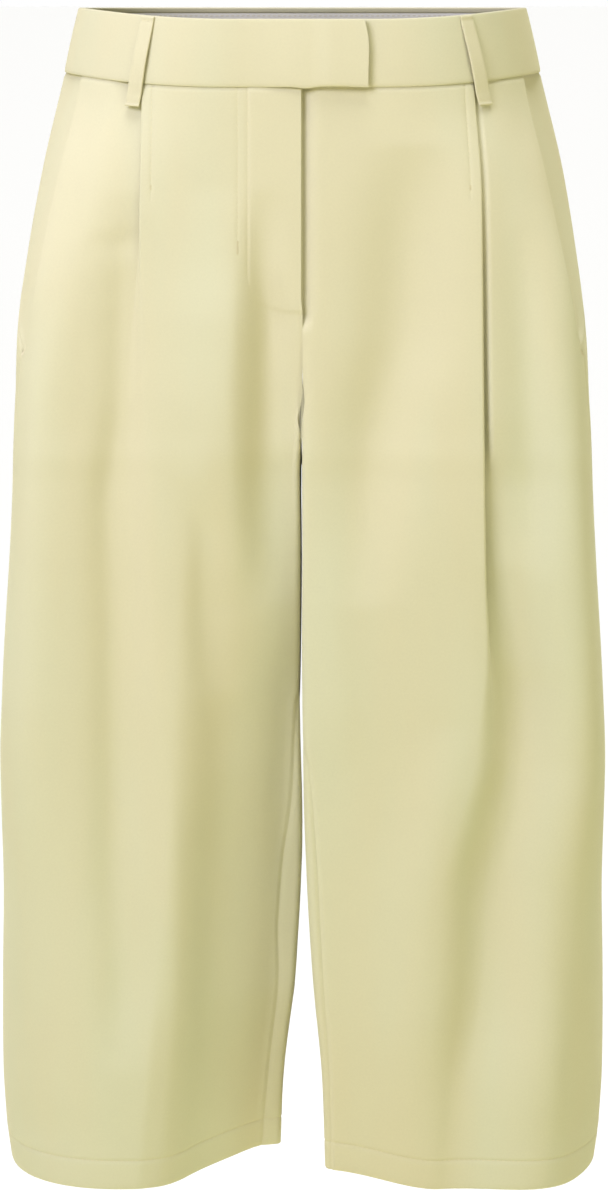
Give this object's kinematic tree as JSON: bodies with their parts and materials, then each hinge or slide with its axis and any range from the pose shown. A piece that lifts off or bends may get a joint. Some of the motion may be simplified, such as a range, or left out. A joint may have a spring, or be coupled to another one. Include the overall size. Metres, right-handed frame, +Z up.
{
  "type": "culottes",
  "caption": "Wide cropped culottes with a pleat on each front, a tabbed waistband, belt loops, closed fly and slanted pockets, hollow and filled out as worn.",
  "frame": {"origin": "centre of the waist, level with the middle of the waistband, where the garment is worn", "axes": "+Z up towards the waistband's top edge, -Y towards the front with the fly, +X towards the wearer's left"},
  "size_m": [0.3862, 0.2539, 0.734],
  "materials": {
    "crepe_right": "fine matt crepe suiting, pale butter yellow",
    "crepe_left": "fine matt crepe suiting, pale butter yellow",
    "crepe_waistband": "fine matt crepe suiting, pale butter yellow",
    "facing_cloth": "plain grey-beige facing cloth, matt",
    "crepe_fly": "fine matt crepe suiting, pale butter yellow",
    "zip_tape": "narrow woven tape, matt",
    "zip_metal": "satin nickel-plated metal",
    "crepe_loops": "fine matt crepe suiting, pale butter yellow"
  },
  "bodies": {
    "root": {"front_right": "crepe_right", "back_right": "crepe_right", "pocket_side_right": "crepe_right", "front_left": "crepe_left", "back_left": "crepe_left", "pocket_side_left": "crepe_left", "waistband_front_right": "crepe_waistband", "waistband_front_left": "crepe_waistband", "waistband_back": "crepe_waistband", "waistband_facing_right": "facing_cloth", "waistband_facing_left": "facing_cloth", "waistband_facing_back": "facing_cloth", "fly_facing": "crepe_fly", "fly_shield": "crepe_fly", "fly_zip": "zip_tape", "zip_slider": "zip_metal", "hook": "zip_metal", "hook_bar": "zip_metal", "belt_loop_front_right": "crepe_loops", "belt_loop_front_left": "crepe_loops", "belt_loop_back_right": "crepe_loops", "belt_loop_back_left": "crepe_loops", "belt_loop_centre_back": "crepe_loops"}
  },
  "joints": []
}
